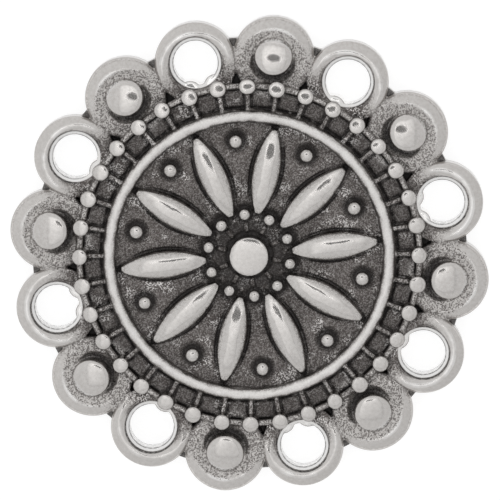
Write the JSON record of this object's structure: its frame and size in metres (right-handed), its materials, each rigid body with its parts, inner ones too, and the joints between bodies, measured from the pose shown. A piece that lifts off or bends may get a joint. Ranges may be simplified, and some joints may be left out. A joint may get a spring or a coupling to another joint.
{
  "type": "round cast rosette strand spacer",
  "caption": "Round cast rosette with pierced eyelet lobes round a petal medallion, a spacer that holds strands apart.",
  "frame": {"origin": "middle of the flat back, on the surface that it lies on", "axes": "+Z out of the relief on the front, +X through the hole of an eyelet that has a rim pellet straight inside it, +Y through another such eyelet"},
  "size_m": [0.03, 0.03, 0.0026],
  "materials": {
    "antiqued_silver": "satin"
  },
  "bodies": {
    "root": {"spacer_casting": "antiqued_silver"}
  },
  "joints": []
}
